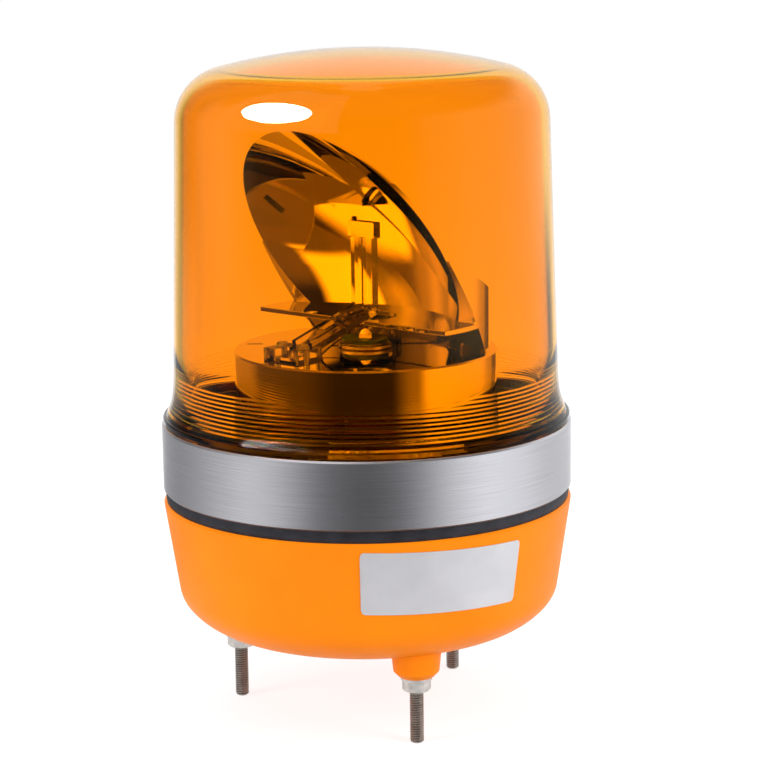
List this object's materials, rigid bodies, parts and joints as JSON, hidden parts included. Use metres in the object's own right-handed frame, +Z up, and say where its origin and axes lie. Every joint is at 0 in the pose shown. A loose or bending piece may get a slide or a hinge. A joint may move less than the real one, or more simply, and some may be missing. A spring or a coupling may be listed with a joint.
{
  "type": "rotating beacon",
  "caption": "Warning beacon on studs: a motor turns a mirrored drum and reflector on a hollow spindle under a clear orange twist-lock globe.",
  "frame": {"origin": "centre of the stud circle, in the plane of the nuts' lower faces, where a panel seats", "axes": "+Z up along the rotor's axis, towards the globe's crown; -Y is the front"},
  "size_m": [0.118, 0.118, 0.1919],
  "materials": {
    "housing_orange": "satin, moulded through",
    "globe_orange": "clear tinted, polished",
    "band_metal": "brushed around",
    "rubber_black": "matte",
    "steel_dark": "plain, rolled thread",
    "steel_bright": "zinc plated",
    "plastic_black": "moulded",
    "plastic_white": "natural acetal",
    "bronze": "sintered",
    "mirror_plastic": "vacuum metallised mirror",
    "plastic_clear": "clear, polished",
    "board_green": "solder mask",
    "led_white": "clear dome",
    "terminal_grey": "moulded",
    "can_aluminium": "drawn can"
  },
  "bodies": {
    "base": {"base_housing": "housing_orange", "gasket": "rubber_black", "trim_ring": "band_metal", "mounting_studs": "steel_dark", "stud_washers": "steel_bright", "stud_nuts": "steel_bright", "chassis": "plastic_black", "chassis_screws": "steel_bright", "spindle": "plastic_white", "retaining_clip": "steel_bright", "idler_axle": "steel_bright", "motor": "steel_bright", "motor_screws": "steel_bright", "lamp_board": "board_green", "lamp_led": "led_white", "control_board": "board_green", "board_screws": "steel_bright", "terminal_block": "terminal_grey", "capacitor": "can_aluminium", "cable_grommet": "rubber_black"},
    "rotor": {"rotor_bush": "bronze", "rotor_drum": "mirror_plastic", "drum_gear": "plastic_white", "reflector": "mirror_plastic", "reflector_screws": "steel_bright", "light_guide": "plastic_clear", "guide_screws": "steel_bright"},
    "idler": {"idler_gear": "plastic_white"},
    "pinion": {"motor_pinion": "plastic_white", "motor_shaft": "steel_bright"},
    "globe": {"globe": "globe_orange"}
  },
  "joints": [
    {"name": "rotor_spin", "type": "hinge", "parent": "base", "child": "rotor", "pos_m": [0, 0, 0.07], "axis": [0, 0, 1], "continuous": true},
    {"name": "idler_spin", "type": "hinge", "parent": "base", "child": "idler", "pos_m": [0.01478, -0.02378, 0.06], "axis": [0, 0, 1], "continuous": true},
    {"name": "pinion_spin", "type": "hinge", "parent": "base", "child": "pinion", "pos_m": [-0.00486, -0.02757, 0.055], "axis": [0, 0, 1], "continuous": true},
    {"name": "globe_twist", "type": "hinge", "parent": "base", "child": "globe", "pos_m": [0, 0, 0.0707], "axis": [0, 0, 1], "range_deg": [0, 30]}
  ],
  "couplings": [
    {"joint": "idler_spin", "follows": "rotor_spin", "ratio": -4},
    {"joint": "pinion_spin", "follows": "rotor_spin", "ratio": 10.286}
  ]
}
